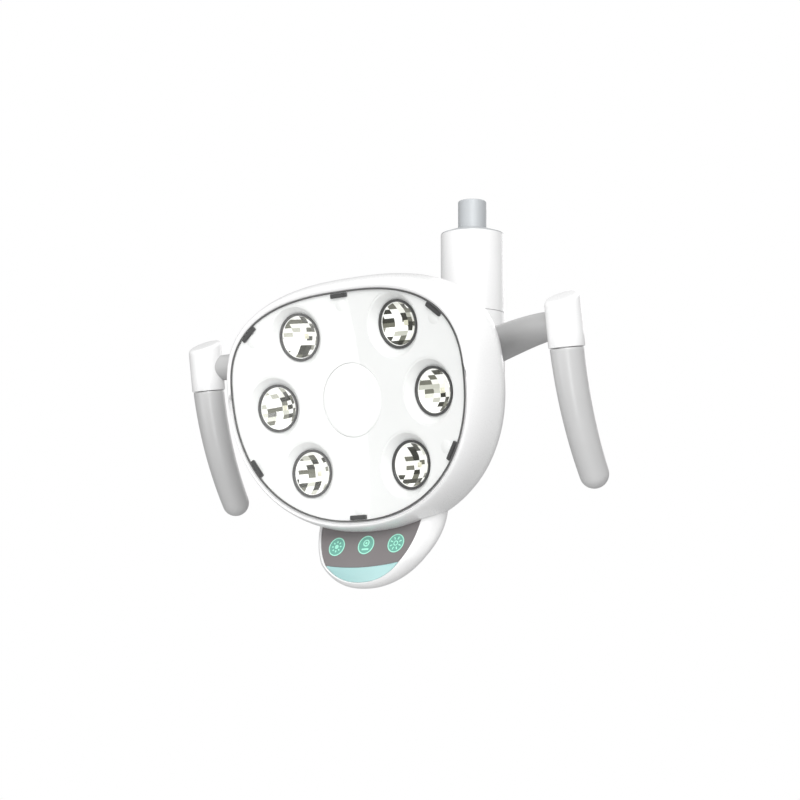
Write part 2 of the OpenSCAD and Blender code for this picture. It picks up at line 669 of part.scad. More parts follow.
module heat_sink() {
    color("silver") in_head() difference() {
        union() {
            translate([0, sink_y, 0]) to_back() cylinder(r = sink_r, h = sink_t);
            for (c = CELLS) on_dish(c) translate([0, led_y + led_board_t + gap, 0]) to_back()
                cylinder(r = led_board_r, h = sink_y + 5 - led_y - led_board_t);
            for (i = [-4 : 4]) if (abs(i) != 3) translate([i * 12 - 0.9, sink_y + 1, -56])
                cube([1.8, fin_h + 2, 112]);
            at_posts(sink_y + 1) to_back() cylinder(r = 3.2, h = driver_y - sink_y - 1 - gap);
        }
        translate([0, sink_y - 1, 0]) to_back() cylinder(r = 5, h = 30);
        for (x = [-1, 1], z = [-1, 1]) translate([x * sink_boss[0], sink_y - 1, z * sink_boss[1]])
            to_back() cylinder(r = 1.7, h = 12);
        at_posts(driver_y - 8) to_back() cylinder(r = 1.2, h = 12);
    }
}
module sink_screws() {
    color("gray") in_head() {
        for (x = [-1, 1], z = [-1, 1]) translate([x * sink_boss[0], sink_y - gap, z * sink_boss[1]])
            rotate([90, 0, 0]) {
                rod(3, 0, 2);
                rod(1.5, -14, 0.1);
            }
        at_posts(driver_y + 1.7) rotate([90, 0, 0]) {
            rod(2.2, -1.6, 0);
            rod(1.1, -0.1, 7);
        }
    }
}
module led_harness() {
    ring_r = 62;
    color("firebrick") in_head() translate([0, sink_y + sink_t + fin_h + 1.2 + 1.8, 0]) to_back()
        rotate_extrude(angle = 330) translate([ring_r, 0]) circle(1.8, $fn = 24);
}
module driver_board() {
    color("darkgreen") in_head() difference() {
        translate([-48, driver_y, -33]) cube([96, 1.6, 66]);
        at_posts(driver_y - 1) to_back() cylinder(r = 1.3, h = 4);
    }
}
module driver_parts() {
    top = driver_y + 1.6 + gap;
    color("dimgray") in_head() {
        for (x = [-30, -16]) translate([x, top, 14]) to_back() cylinder(r = 5, h = 12);
        translate([-2, top, -2]) cube([16, 9, 16]);
        translate([22, top, 4]) cube([10, 6, 22]);
        translate([-34, top, -26]) cube([20, 7, 9]);
        translate([6, top, -24]) cube([12, 2, 12]);
    }
}
module front_cover() {
    color("azure", 0.35) in_head() difference() {
        dish_layer(-cover_gap - cover_t, -cover_gap) opening(1.3);
        clip_places() clip_notch();
    }
}
module cover_seal() {
    color("dimgray") in_head() dish_layer(-cover_gap - cover_t, -cover_gap) difference() {
        opening(0.2);
        opening(1.2);
    }
}
module cover_clips() { color("dimgray") in_head() clip_places() clip_block(0); }

// ---- control chin ----
function face_y(z) = z > panel_low ? panel_y + (z - panel_top) * tan(panel_tilt)
    : face_y(panel_low + 0.001) + (z - panel_low) * tan(strip_tilt);
// Lower outline of the chin in X and Z, closed along its top, which drop lowers
function chin_arc(w, low, drop = 0) = [for (i = [0 : 36]) let(a = -180 + 5 * i)
    [w * bend_pow(cos(a), chin_n), chin_top - drop + (low - drop) * bend_pow(sin(a), chin_n)]];
function chin_ring(d, w, low, drop = 0) = [for (p = chin_arc(w, low, drop))
    [p[0], face_y(p[1]) * (1 - d / 60) + d, p[1]]];
// Stations from the back of the chin to its front edge: depth, width and height as shares of the front
CHIN = [[44, 0.64, 0.15], [37, 0.82, 0.42], [30, 0.93, 0.66], [23, 0.985, 0.83], [16, 0.985, 0.93],
    [10, 0.945, 0.97], [5, 0.9, 0.965], [1.5, 0.86, 0.935], [-0.2, 0.835, 0.905], [-1, 0.815, 0.885]];
ledge = 4;
// The front wall, from the rim over the recess and its ledge to the inside: depth, width, height and drop
WALL = [[-0.8, face_w, face_low, 2], [panel_t + 0.5, face_w, face_low, 2],
    [panel_t + 0.5, face_w - ledge, face_low - ledge, 3], [chin_front, face_w - ledge, face_low - ledge, 3],
    [chin_front, 0.9 * chin_w - wall, 0.94 * chin_low - wall, 2]];
// The lower edge of the head beside the chin, as a body turned about an axis from front to back
module head_edge(grow) {
    top = widest_z - open_low;
    function edge(b) = let(z = top - b[0] * bezel_low) [scoop_z - z + grow, b[1] - b[2] * dish([0, z])];
    lip = [for (i = [5 : -1 : 0]) edge(BEZEL[i])];
    back = [for (a = [8, 16, 24, 32, 40]) let(s = cos(a))
        [scoop_z - dome_z + (dome_z - widest_z + open_low + bezel_low) * s + grow, part_y + dome_d * sin(a)]];
    front = [[0, -20], [lip[0][0], -20]];
    translate([0, 0, scoop_z]) to_back() rotate_extrude() polygon(concat(front, lip, back, [[0, back[4][1]]]));
}
module face_outline(inset) { polygon(chin_arc(face_w - inset, face_low - inset)); }
// The space from d0 to d1 behind the chin's face, between two heights
module face_layer(d0, d1, z0, z1) {
    function at(z, d) = [face_y(z) + d, z];
    bend = z0 < panel_low && z1 > panel_low;
    rows = bend ? [z0, panel_low, z1] : [z0, z1];
    translate([-80, 0, 0]) rotate([90, 0, 90]) linear_extrude(160)
        polygon(concat([for (z = rows) at(z, d0)], [for (i = [len(rows) - 1 : -1 : 0]) at(rows[i], d1)]));
}
module chin_shell() {
    outside = [for (c = CHIN) chin_ring(c[0], chin_w * c[1], chin_low * c[2])];
    front = [for (c = WALL) chin_ring(c[0], c[1], c[2], c[3])];
    inside = [for (i = [4 : -1 : 0]) chin_ring(CHIN[i][0], chin_w * CHIN[i][1] - wall,
        chin_low * CHIN[i][2] - (i == 0 ? 0.4 : 1) * wall, 2)];
    color("white") in_head() difference() {
        loft(concat(outside, front, inside), true);
        head_edge(0.8);
    }
}
module control_panel() {
    color("rosybrown") difference() {
        in_head() intersection() {
            slab(-30, 30) face_outline(0.2);
            face_layer(0.2, panel_t, panel_low, panel_top + 4);
        }
        in_panel() for (x = [-key_pitch, 0, key_pitch]) translate([x, -1, 0]) to_back()
            cylinder(r = key_r + gap, h = 2);
        in_head() head_edge(1);
    }
}
module touch_keys() {
    color("mediumaquamarine") in_panel() for (x = [-key_pitch, 0, key_pitch]) translate([x, 0.15, 0]) to_back()
        cylinder(r = key_r, h = 0.75);
}
module touch_board() {
    color("darkgreen") in_panel() translate([-38, panel_t + 0.4, -10]) cube([76, 1.6, 20]);
}
module light_strip() {
    color("paleturquoise") in_head() intersection() {
        slab(-30, 30) face_outline(0.2);
        face_layer(0.2, panel_t, -170, panel_low - 0.2);
    }
}

spigot();
shoulder_ring();
barrel();
bearing_housing();
upper_bush();
lower_bush();
friction_ring();
swivel_stop_pin();
flange_screws();
barrel_screws();
swivel_shaft();
spring_washer();
shaft_nut();
knuckle_core();
knuckle_shell();
core_screws();
knuckle_screw();
tilt_axle();
axle_nut();
tilt_washers();
yoke_hub();
tilt_bushes();
left_pivot_cap();
right_pivot_cap();
left_arm();
right_arm();
left_cap();
right_cap();
left_stem();
right_stem();
left_grip();
right_grip();
rear_housing();
hub_screws();
bezel();
housing_screws();
reflector_plate();
centre_disc();
trim_rings();
reflector_1();
reflector_2();
reflector_3();
reflector_4();
reflector_5();
reflector_6();
led_boards();
led_chips();
heat_sink();
sink_screws();
led_harness();
driver_board();
driver_parts();
front_cover();
cover_seal();
cover_clips();
chin_shell();
control_panel();
touch_keys();
touch_board();
light_strip();
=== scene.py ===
import json
import math

import bmesh
import bpy
from mathutils import Matrix, Vector


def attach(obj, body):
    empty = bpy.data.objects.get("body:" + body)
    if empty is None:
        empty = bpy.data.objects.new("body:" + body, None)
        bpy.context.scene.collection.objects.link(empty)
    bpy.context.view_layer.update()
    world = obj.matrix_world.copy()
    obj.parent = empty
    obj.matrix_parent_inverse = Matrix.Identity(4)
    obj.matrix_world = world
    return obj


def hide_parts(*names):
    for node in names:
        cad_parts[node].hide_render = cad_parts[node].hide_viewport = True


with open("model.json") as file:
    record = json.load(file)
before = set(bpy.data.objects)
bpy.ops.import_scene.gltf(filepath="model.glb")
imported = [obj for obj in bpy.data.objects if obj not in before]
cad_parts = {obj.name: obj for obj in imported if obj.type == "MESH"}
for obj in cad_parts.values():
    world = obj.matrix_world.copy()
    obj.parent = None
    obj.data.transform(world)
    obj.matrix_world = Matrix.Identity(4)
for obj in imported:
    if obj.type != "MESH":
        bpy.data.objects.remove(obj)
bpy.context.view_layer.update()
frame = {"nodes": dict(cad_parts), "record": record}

# ---------------------------------------------------------------- driving values
# Lengths are in millimetres in the frame of the head, which has its origin in the middle of the lit face,
# +X to the viewer's right, +Y to the back and +Z up the face. HEAD turns them into metres in the shared
# frame.
HEAD_AT = Vector((0, -0.1737, -0.17735))
HEAD_PITCH = math.radians(8.8)
MM = Matrix.Scale(0.001, 4)
HEAD = Matrix.Translation(HEAD_AT) @ Matrix.Rotation(HEAD_PITCH, 4, "X") @ MM

OPEN_W, OPEN_UP, OPEN_LOW = 126.5, 80.6, 115.0
BEZEL_W, BEZEL_UP, BEZEL_LOW = 9.5, 12.4, 11.0
UPPER_N, LOWER_N = 2.6, 2.2
WIDEST_Z, DOME_Z = 12.0, 16.0
DISH_R = 850.0
PART_Y, DOME_D = 26.0, 52.0
WALL = 2.6
CELLS = [(-53.5, 58.7), (53.5, 58.7), (84.4, 0), (53.5, -58.7), (-53.5, -58.7), (-84.4, 0)]
RECESS_R, RECESS_D, TRIM_R = 27.0, 7.0, 20.8
BOWL_R, BOWL_END, BOWL_Y, BOWL_D = 18.0, 6.5, 7.2, 10.0
CLIPS = [90, 39.5, -32, -90, -148, 140.5]
BUTTONS = [(0, 81), (98.7, 59.8), (98.7, -46.6), (0, -91.7), (-98.7, -46.6), (-98.7, 59.8)]
HANDLE_X, HANDLE_Y = 196.3, 37.5
CAP_R, CAP_TOP, SEAM_Z, CAP_SLOPE = 15.0, 66.0, 24.0, math.tan(math.radians(19))
GRIP_R, GRIP_END = 14.0, 12.2
GRIP_LEN, GRIP_LEAN, GRIP_CURVE = 107.0, 1.5, 21.5
PANEL_TOP, PANEL_LOW, PANEL_Y = -108.6, -138.0, 8.0
PANEL_SLOPE = math.tan(math.radians(29))
STRIP_SLOPE = math.tan(math.radians(8.5))
CHIN_TOP, CHIN_W, CHIN_LOW, CHIN_N = -98.0, 67.0, 64.0, 2.2
FACE_W, FACE_LOW = 53.7, 56.0
KEY_Z, KEY_R, KEY_PITCH = -123.4, 8.5, 32.0


# ---------------------------------------------------------------- curves and outlines
def bend_pow(v, n):
    return math.copysign(abs(v) ** (2 / n), v)


def shield(a, k=0.0, s=1.0, grow=0.0):
    """A point (x, z) of the head's outline at angle a, k bezel widths outside the opening, scaled by s."""
    up = math.sin(a) >= 0
    n = UPPER_N if up else LOWER_N
    w = (OPEN_W + k * BEZEL_W) * s + grow
    h = (OPEN_UP + k * BEZEL_UP if up else OPEN_LOW + k * BEZEL_LOW) * s + grow
    mid = DOME_Z + (WIDEST_Z - DOME_Z) * s
    return w * bend_pow(math.cos(a), n), mid + h * bend_pow(math.sin(a), n)


def dish(x, z):
    return DISH_R - math.sqrt(DISH_R * DISH_R - x * x - z * z)


def spline(points, per):
    """Catmull-Rom through rows of numbers, with per steps between two rows."""
    rows = []
    last = len(points) - 1
    for i in range(last):
        a, b, c, d = (points[max(0, min(last, i + o))] for o in (-1, 0, 1, 2))
        for j in range(per):
            t = j / per
            rows.append(tuple(
                q + 0.5 * t * (r - p + (2 * p - 5 * q + 4 * r - s) * t + (3 * q - p - 3 * r + s) * t * t)
                for p, q, r, s in zip(a, b, c, d)))
    return rows + [tuple(points[-1])]


def softened(corners, radius, steps=5):
    """A closed outline with rounded corners; a corner with a third number has that radius of its own."""
    out = []
    count = len(corners)
    for i, corner in enumerate(corners):
        here = Vector(corner[:2])
        r = corner[2] if len(corner) > 2 else radius
        if r == 0:
            out.append(tuple(here))
            continue
        before = (Vector(corners[i - 1][:2]) - here)
        after = (Vector(corners[(i + 1) % count][:2]) - here)
        half = before.angle(after) / 2
        reach = min(r / math.tan(half), before.length * 0.49, after.length * 0.49)
        start = here + before.normalized() * reach
        end = here + after.normalized() * reach
        for j in range(steps + 1):
            t = j / steps
            out.append(tuple(start * (1 - t) ** 2 + here * 2 * t * (1 - t) + end * t * t))
    return out


def on_dish(x, z):
    """The place of a cell on the dished face, with its own Y along the face's inward normal."""
    lean = math.asin(z / DISH_R)
    turn = -math.asin(x / DISH_R / math.cos(lean))
    out = Matrix.Translation((0, -DISH_R, 0))
    turned = Matrix.Rotation(turn, 4, "Z") @ Matrix.Rotation(lean, 4, "X")
    return out @ turned @ Matrix.Translation((0, DISH_R, 0))


def chance(*numbers):
    """A fixed number from 0 to 1 for these whole numbers."""
    total = sum(n * f for n, f in zip(numbers, (12.9898, 78.233, 37.719, 93.989)))
    return (math.sin(total) * 43758.5453) % 1.0


# ---------------------------------------------------------------- meshes
class Shape:
    """Vertices and faces that are collected in millimetres and become one piece."""

    def __init__(self):
        self.verts = []
        self.faces = []
        self.painted_reflection_picks = []

    def add(self, verts, faces, place=None, painted_reflection_pick=0.0):
        base = len(self.verts)
        self.verts += [tuple(place @ Vector(v)) if place else tuple(v) for v in verts]
        self.faces += [tuple(base + i for i in face) for face in faces]
        self.painted_reflection_picks += [painted_reflection_pick] * len(faces)
        return self

    def loft(self, rings, closed=False, place=None):
        n = len(rings[0])
        m = len(rings)
        faces = []
        for i in range(m if closed else m - 1):
            k = (i + 1) % m
            faces += [(i * n + j, i * n + (j + 1) % n, k * n + (j + 1) % n, k * n + j) for j in range(n)]
        if not closed:
            faces.append(tuple(range(n)))
            faces.append(tuple((m - 1) * n + j for j in reversed(range(n))))
        return self.add([p for ring in rings for p in ring], faces, place)

    def lathe(self, outline, steps=64, place=None):
        """Turns a closed outline of (radius, y) about Y."""
        angles = [2 * math.pi * i / steps for i in range(steps)]
        rings = [[(r * math.cos(a), y, r * math.sin(a)) for r, y in outline] for a in angles]
        return self.loft(rings, True, place)

    def prism(self, outline, y0, y1, place=None):
        """Extrudes an outline of (x, z) from y0 to y1."""
        return self.loft([[(x, y, z) for x, z in outline] for y in (y0, y1)], False, place)


def to_mesh(name, shape, place, angle):
    mesh = bpy.data.meshes.new(name)
    mesh.from_pydata(shape.verts, [], shape.faces)
    # Per-face pick of a painted reflection tone, read by the facets' mirror material; other pieces leave it
    # at 0.
    painted_reflection_pick = mesh.attributes.new("painted_reflection_pick", "FLOAT", "FACE")
    for i, value in enumerate(shape.painted_reflection_picks):
        painted_reflection_pick.data[i].value = value
    mesh.transform(place)
    bm = bmesh.new()
    bm.from_mesh(mesh)
    bmesh.ops.remove_doubles(bm, verts=bm.verts, dist=1e-6)
    bmesh.ops.dissolve_degenerate(bm, edges=bm.edges, dist=1e-7)
    bmesh.ops.recalc_face_normals(bm, faces=bm.faces)
    bm.to_mesh(mesh)
    bm.free()
    shade(mesh, angle)
    return mesh


def shade(mesh, angle):
    mesh.polygons.foreach_set("use_smooth", [True] * len(mesh.polygons))
    mesh.set_sharp_from_angle(angle=math.radians(angle))


def piece(name, shape, body, material, nodes=(), place=HEAD, angle=32):
    obj = bpy.data.objects.new(name, to_mesh(name, shape, place, angle))
    bpy.context.scene.collection.objects.link(obj)
    obj.data.materials.append(material)
    if nodes:
        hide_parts(*nodes)
    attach(obj, body)
    return obj


def carve(shape, tool, angle=32):
    """The mesh of shape with tool's volume taken out of it, as a new Shape in the same units."""
    made = []
    for label, part in (("carved", shape), ("tool", tool)):
        obj = bpy.data.objects.new(label, to_mesh(label, part, Matrix.Identity(4), angle))
        bpy.context.scene.collection.objects.link(obj)
        made.append(obj)
    cut = made[0].modifiers.new("cut", "BOOLEAN")
    cut.object = made[1]
    cut.solver = "EXACT"
    cut.use_self = True
    done = made[0].evaluated_get(bpy.context.evaluated_depsgraph_get()).to_mesh()
    result = Shape().add([tuple(v.co) for v in done.vertices], [tuple(p.vertices) for p in done.polygons])
    for obj in made:
        mesh = obj.data
        bpy.data.objects.remove(obj)
        bpy.data.meshes.remove(mesh)
    return result


# ---------------------------------------------------------------- materials
def node(tree, kind, **settings):
    made = tree.nodes.new(kind)
    for key, value in settings.items():
        setattr(made, key, value)
    return made


def noise(tree, scale, detail=3.0, stretch=(1, 1, 1)):
    """Noise in the shared frame; scale is in features per metre."""
    coords = node(tree, "ShaderNodeTexCoord")
    mapping = node(tree, "ShaderNodeMapping")
    mapping.inputs["Scale"].default_value = stretch
    tree.links.new(coords.outputs["Object"], mapping.inputs["Vector"])
    made = node(tree, "ShaderNodeTexNoise")
    made.inputs["Scale"].default_value = scale
    made.inputs["Detail"].default_value = detail
    tree.links.new(mapping.outputs["Vector"], made.inputs["Vector"])
    return made.outputs["Fac"]


def ramp(tree, source, stops, interpolation="LINEAR"):
    made = node(tree, "ShaderNodeValToRGB")
    made.color_ramp.interpolation = interpolation
    elements = made.color_ramp.elements
    while len(elements) < len(stops):
        elements.new(0.5)
    for element, (position, colour) in zip(elements, stops):
        element.position = position
        element.color = (*colour, 1)
    tree.links.new(source, made.inputs["Fac"])
    return made.outputs["Color"]


def spread(tree, source, low, high):
    made = node(tree, "ShaderNodeMapRange")
    made.inputs["From Min"].default_value = 0.3
    made.inputs["From Max"].default_value = 0.7
    made.inputs["To Min"].default_value = low
    made.inputs["To Max"].default_value = high
    tree.links.new(source, made.inputs["Value"])
    return made.outputs["Result"]


def bump(tree, shader, source, strength, distance):
    made = node(tree, "ShaderNodeBump")
    made.inputs["Strength"].default_value = strength
    made.inputs["Distance"].default_value = distance
    tree.links.new(source, made.inputs["Height"])
    tree.links.new(made.outputs["Normal"], shader.inputs["Normal"])


def shader_of(name):
    material = bpy.data.materials.new(name)
    material.use_nodes = True
    tree = material.node_tree
    return material, tree, tree.nodes["Principled BSDF"]


def finish_of(name, colour, rough, metal=0.0, vary=0.03, coarse=14, fine=1600, relief=0.05, depth=0.00004,
              stretch=(1, 1, 1), coat=0.0, coat_rough=0.12):
    """A finish whose colour drifts slowly, whose gloss varies and whose surface has a fine relief."""
    material, tree, shader = shader_of(name)
    low = tuple(c * (1 - vary) for c in colour)
    high = tuple(min(1, c * (1 + vary)) for c in colour)
    drift = noise(tree, coarse, 4, stretch)
    grain = noise(tree, fine, 2, stretch)
    tree.links.new(ramp(tree, drift, [(0.3, low), (0.7, high)]), shader.inputs["Base Color"])
    tree.links.new(spread(tree, grain, rough * 0.85, min(1, rough * 1.15)), shader.inputs["Roughness"])
    bump(tree, shader, grain, relief, depth)
    shader.inputs["Metallic"].default_value = metal
    shader.inputs["Coat Weight"].default_value = coat
    shader.inputs["Coat Roughness"].default_value = coat_rough
    return material


def mirror_with_painted_reflections():
    """Vacuum-coated facets with painted reflections: each facet takes a fixed tone, from warm white to dark
    olive, in place of what it would mirror, and glows faintly in that tone.
    """
    material, tree, shader = shader_of("mirror")
    facet = node(tree, "ShaderNodeAttribute", attribute_name="painted_reflection_pick")
    # Painted reflections: a fixed pick per facet chooses one of these tones in place of what the facet would
    # mirror.
    painted_reflection_tones = [(0.0, (0.99, 0.99, 0.97)), (0.4, (0.90, 0.90, 0.85)), (0.56, (0.50, 0.50, 0.44)),
             (0.66, (0.14, 0.14, 0.11)), (0.8, (0.03, 0.03, 0.022))]
    base = ramp(tree, facet.outputs["Fac"], painted_reflection_tones, "CONSTANT")
    tree.links.new(base, shader.inputs["Base Color"])
    # The painted reflection tone is also painted on as a faint glow, though the facets are no lamps.
    tree.links.new(base, shader.inputs["Emission Color"])
    shader.inputs["Emission Strength"].default_value = 0.3
    haze = noise(tree, 900, 2)
    tree.links.new(spread(tree, haze, 0.10, 0.2), shader.inputs["Roughness"])
    shader.inputs["Metallic"].default_value = 0.1
    return material


def clear_finish():
    """Clear acrylic: what is behind it shows through, and its outer faces mirror a little at a slant."""
    material, tree, shader = shader_of("clear_cover")
    tree.nodes.remove(shader)
    through = node(tree, "ShaderNodeBsdfTransparent")
    through.inputs["Color"].default_value = (0.985, 0.988, 0.985, 1)
    shine = node(tree, "ShaderNodeBsdfGlossy")
    tree.links.new(spread(tree, noise(tree, 60, 2), 0.015, 0.03), shine.inputs["Roughness"])
    fresnel = node(tree, "ShaderNodeFresnel")
    fresnel.inputs["IOR"].default_value = 1.55
    side = node(tree, "ShaderNodeNewGeometry")
    outer = node(tree, "ShaderNodeMath", operation="SUBTRACT")
    outer.inputs[0].default_value = 1
    tree.links.new(side.outputs["Backfacing"], outer.inputs[1])
    share = node(tree, "ShaderNodeMath", operation="MULTIPLY")
    tree.links.new(fresnel.outputs["Fac"], share.inputs[0])
    tree.links.new(outer.outputs["Value"], share.inputs[1])
    mix = node(tree, "ShaderNodeMixShader")
    tree.links.new(share.outputs["Value"], mix.inputs["Fac"])
    tree.links.new(through.outputs["BSDF"], mix.inputs[1])
    tree.links.new(shine.outputs["BSDF"], mix.inputs[2])
    tree.links.new(mix.outputs["Shader"], tree.nodes["Material Output"].inputs["Surface"])
    return material


def board_finish():
    """Green solder mask with darker traces below it."""
    material, tree, shader = shader_of("board_green")
    coords = node(tree, "ShaderNodeTexCoord")
    bricks = node(tree, "ShaderNodeTexVoronoi", distance="MANHATTAN")
    bricks.inputs["Scale"].default_value = 320
    tree.links.new(coords.outputs["Object"], bricks.inputs["Vector"])
    base = ramp(tree, bricks.outputs["Distance"], [(0.25, (0.02, 0.16, 0.07)), (0.45, (0.03, 0.24, 0.10))])
    tree.links.new(base, shader.inputs["Base Color"])
    tree.links.new(spread(tree, noise(tree, 700), 0.25, 0.4), shader.inputs["Roughness"])
    bump(tree, shader, bricks.outputs["Distance"], 0.2, 0.00005)
    return material


FINISHES = {
    "spigot_steel": finish_of("spigot_steel", (0.46, 0.48, 0.495), 0.5, 0.1, 0.03, 30, 1500,
                              stretch=(1, 1, 0.05)),
    "ring_paint": finish_of("ring_paint", (0.43, 0.445, 0.455), 0.38, vary=0.02),
    "white_paint": finish_of("white_paint", (0.83, 0.83, 0.83), 0.3, vary=0.01, coat=0.25),
    "hub_paint": finish_of("hub_paint", (0.80, 0.80, 0.80), 0.36, vary=0.02),
    "arm_paint": finish_of("arm_paint", (0.42, 0.42, 0.42), 0.4, vary=0.03, fine=1100, relief=0.08),
    "shell_white": finish_of("shell_white", (0.84, 0.84, 0.84), 0.3, vary=0.01, fine=1300, relief=0.03,
                             coat=0.25),
    "grip_grey": finish_of("grip_grey", (0.50, 0.50, 0.50), 0.34, vary=0.03, fine=2600, relief=0.1, coat=0.7,
                           coat_rough=0.3),
    "face_grey": finish_of("face_grey", (0.90, 0.90, 0.90), 0.42, vary=0.015, fine=2200),
    "disc_grey": finish_of("disc_grey", (0.94, 0.94, 0.94), 0.36, vary=0.01, fine=2200),
    "trim_dark": finish_of("trim_dark", (0.05, 0.05, 0.05), 0.38, vary=0.12, fine=1800),
    "mirror": mirror_with_painted_reflections(),
    "clear_cover": clear_finish(),
    "seal_rubber": finish_of("seal_rubber", (0.10, 0.10, 0.10), 0.7, vary=0.2, fine=2400, relief=0.2),
    "panel_taupe": finish_of("panel_taupe", (0.20, 0.185, 0.187), 0.34, vary=0.04, fine=1800),
    "key_teal": finish_of("key_teal", (0.16, 0.40, 0.33), 0.3, vary=0.06, fine=1500),
    "key_mark": finish_of("key_mark", (0.38, 0.82, 0.66), 0.35, vary=0.05, fine=1500),
    "strip_cyan": finish_of("strip_cyan", (0.37, 0.60, 0.595), 0.2, vary=0.03, coarse=40, coat=0.4),
    "sink_metal": finish_of("sink_metal", (0.60, 0.61, 0.63), 0.4, 1.0, 0.05, 20, 700, 0.1, 0.00005,
                            (1, 0.1, 1)),
    "housing_metal": finish_of("housing_metal", (0.55, 0.56, 0.58), 0.42, 1.0, 0.06, 25, 900, 0.12, 0.00005),
    "shaft_steel": finish_of("shaft_steel", (0.62, 0.62, 0.63), 0.22, 1.0, 0.04, 30, 1500, 0.08,
                             stretch=(1, 1, 12)),
    "fastener_steel": finish_of("fastener_steel", (0.50, 0.50, 0.51), 0.3, 1.0, 0.08, 60, 1800, 0.1, 0.00003),
    "bush_bronze": finish_of("bush_bronze", (0.62, 0.42, 0.20), 0.38, 1.0, 0.12, 90, 2200, 0.15, 0.00004),
    "friction_pad": finish_of("friction_pad", (0.16, 0.14, 0.13), 0.8, 0.0, 0.25, 200, 1800, 0.3, 0.0001),
    "board_green": board_finish(),
    "board_parts": finish_of("board_parts", (0.05, 0.05, 0.055), 0.45, 0.0, 0.2, 150, 1500, 0.1),
    "led_yellow": finish_of("led_yellow", (0.88, 0.86, 0.70), 0.3, 0.0, 0.1, 300, 2500, 0.1),
    "lead_red": finish_of("lead_red", (0.50, 0.04, 0.03), 0.4, 0.0, 0.1, 120, 900, 0.1),
}
for row in frame["record"]["subparts"]:
    cad_node = frame["nodes"][row["node"]]
    cad_node.data.materials.clear()
    cad_node.data.materials.append(FINISHES[row["material_slot"]])

# ---------------------------------------------------------------- bezel
ROUND = 288
ANGLES = [2 * math.pi * i / ROUND for i in range(ROUND)]
# Section over the lip: bezel widths out, depth, share of the dish
LIP = [(1, PART_Y, 0), (1, 21.5, 0.1), (0.97, 16.5, 0.25), (0.9, 11, 0.45), (0.78, 6.2, 0.65),
       (0.62, 2.3, 0.85), (0.45, -0.4, 1), (0.28, -2, 1), (0.14, -2.5, 1), (0.04, -2.4, 1), (0, -1.8, 1)]
INSIDE = [(0, 2.8, 1), (-0.24, 2.8, 1), (-0.24, 5.4, 1), (0.3, 6, 0.9), (0.56, 10, 0.6), (0.68, 16.5, 0.25),
          (0.72, PART_Y, 0)]
NOTCH_Z, NOTCH_HALF, NOTCH_REACH = 7.0, 9.5, 0.3


def lip_ring(k, y, share):
    ring = []
    for a in ANGLES:
        x, z = shield(a, k)
        near = max(0.0, 1 - (abs(z - NOTCH_Z) / NOTCH_HALF) ** 6)
        if abs(x) > 100 and near > 0 and -0.01 <= k <= NOTCH_REACH and y < 0:
            cut = near * (1 - k / NOTCH_REACH)
            x += math.copysign(3.4 * cut, x)
            y += 1.1 * cut
        ring.append((x, y - share * dish(x, z), z))
    return ring


bezel = Shape().loft([lip_ring(*row) for row in spline(LIP, 4) + INSIDE], True)
piece("bezel_shell", bezel, "head", FINISHES["shell_white"], ["bezel"])

# ---------------------------------------------------------------- rear housing
LID_SCREWS = [(123.5, 38), (120.5, -32)]
HEAD_SEAT, HEAD_R = 34.2, 3.7           # floor and radius of the well for a screw's head
WELL_R, WELL_TOP = 4.6, 38.8            # radius and top of the wall around that well
PAD_R, PAD_Z, PAD_FRONT = 29.0, 20.0, 70.0
PAD_BACK = PART_Y + DOME_D


def dome_ring(degrees, inset):
    a = math.radians(degrees)
    s = math.cos(a)
    y = PART_Y + 0.2 + (DOME_D - 0.2 - inset) * math.sin(a)
    ring = []
    for b in ANGLES[::2]:
        x, z = shield(b, 1, s, -inset * s)
        ring.append((x, y, z))
    return ring


DOME_STEPS = [88.5, 87, 85, 82, 79, 75, 71, 66, 61, 55, 49, 43, 37, 31, 25, 20, 15, 11, 7.5, 4.5, 2, 0]
outer_rings = [dome_ring(d, 0) for d in DOME_STEPS]
inner_rings = [dome_ring(d, WALL) for d in reversed(DOME_STEPS)]
housing = Shape().loft(outer_rings + inner_rings)
screw_holes = Shape()
for side in (-1, 1):
    for x, z in LID_SCREWS:
        hole = softened([(0, HEAD_SEAT, 0), (HEAD_R, HEAD_SEAT, 0), (HEAD_R, 90, 0), (0, 90, 0)], 0)
        screw_holes.lathe(hole, 40, Matrix.Translation((side * x, 0, z)))
housing = carve(housing, screw_holes)
pad = softened([(0, PAD_FRONT, 0), (PAD_R, PAD_FRONT, 0), (PAD_R, PAD_BACK, 0.8), (0, PAD_BACK, 0)], 0)
housing.lathe(pad, 96, Matrix.Translation((0, 0, PAD_Z)))
for side in (-1, 1):
    for x, z in LID_SCREWS:
        cup = [(0, 32.8), (WELL_R, 32.8), (WELL_R, WELL_TOP), (HEAD_R, WELL_TOP), (HEAD_R, HEAD_SEAT),
               (0, HEAD_SEAT)]
        housing.lathe(cup, 40, Matrix.Translation((side * x, 0, z)))
piece("rear_shell", housing, "head", FINISHES["shell_white"], ["rear_housing"])

# ---------------------------------------------------------------- reflector plate, cover and seal
SHEET_T, COVER_T, COVER_GAP = 2.5, 1.4, 0.3
RECESS_EDGE = RECESS_R + 1.6


def dish_sheet(inset, y0, y1):
    """A closed layer of the dished face from y0 to y1 behind its front, in rings from the middle out."""
    shares = [0.02] + [i / 14 for i in range(1, 15)]

    def ring(share, y):
        points = [shield(a, 0, 1, -inset) for a in ANGLES]
        return [(x * share, y - dish(x * share, z * share), z * share) for x, z in points]

    return Shape().loft([ring(s, y0) for s in shares] + [ring(s, y1) for s in reversed(shares)])


